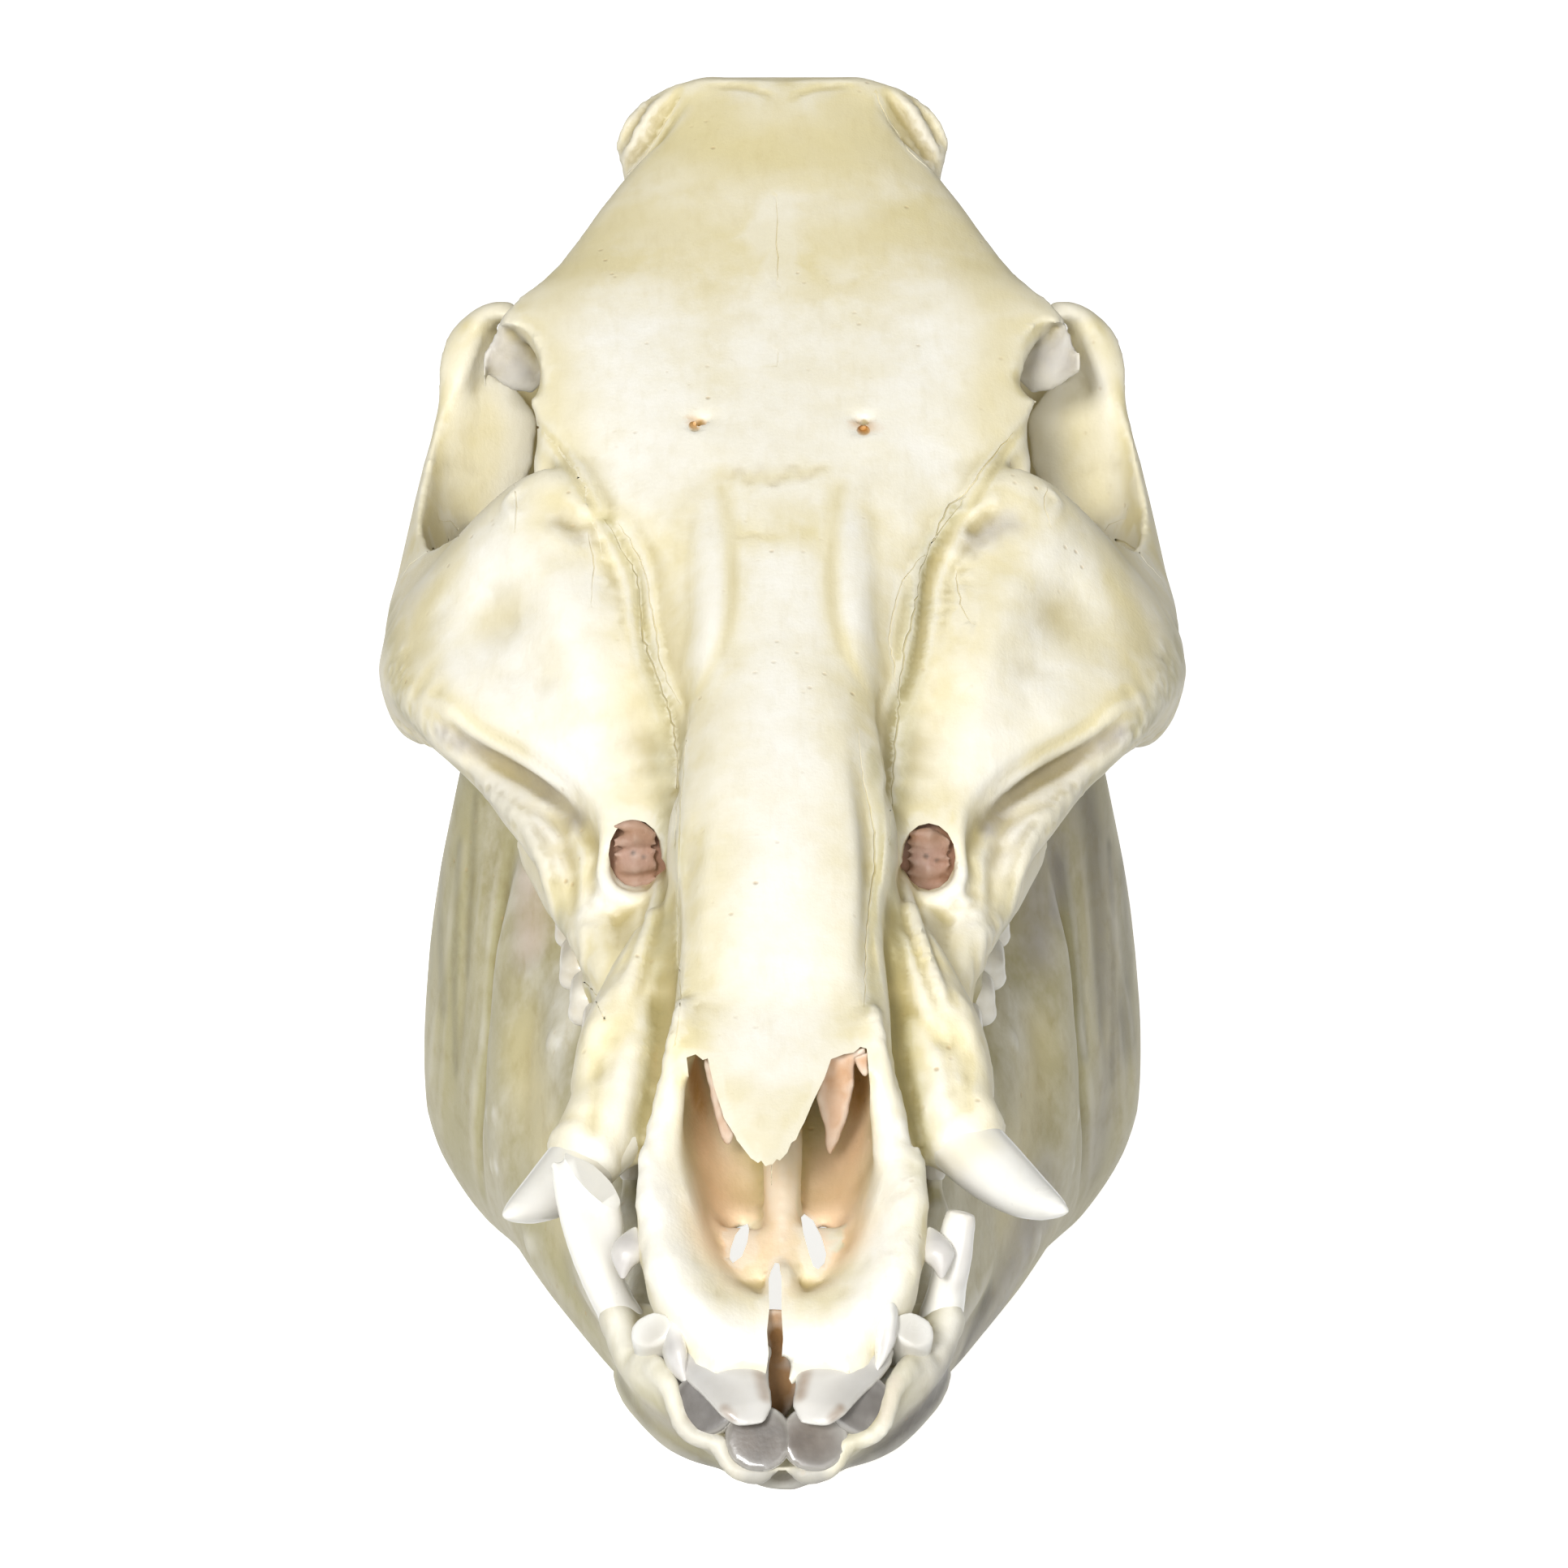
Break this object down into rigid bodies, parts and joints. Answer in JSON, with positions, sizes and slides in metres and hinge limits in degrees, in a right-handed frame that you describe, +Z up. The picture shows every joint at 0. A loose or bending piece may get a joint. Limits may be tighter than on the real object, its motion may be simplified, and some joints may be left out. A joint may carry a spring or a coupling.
{
  "type": "pig skull",
  "caption": "Life-size skull of a grown domestic pig, cranium and lower jaw closed together, with curved tusks, resting on its lower jaw.",
  "frame": {"origin": "centre of the footprint box, on the surface that the lower jaw rests on", "axes": "+Z up, -Y towards the snout, +X towards the animal's left"},
  "size_m": [0.1578, 0.3154, 0.215],
  "materials": {
    "bone": "dry cleaned bone, ivory to cream, satin, with rough patches where muscles held",
    "tusk": "smooth off-white tusk enamel, half gloss"
  },
  "bodies": {
    "root": {"cranium": "bone", "mandible": "bone", "tusk_upper_left": "tusk", "tusk_upper_right": "tusk", "tusk_lower_left": "tusk", "tusk_lower_right": "tusk"}
  },
  "joints": []
}
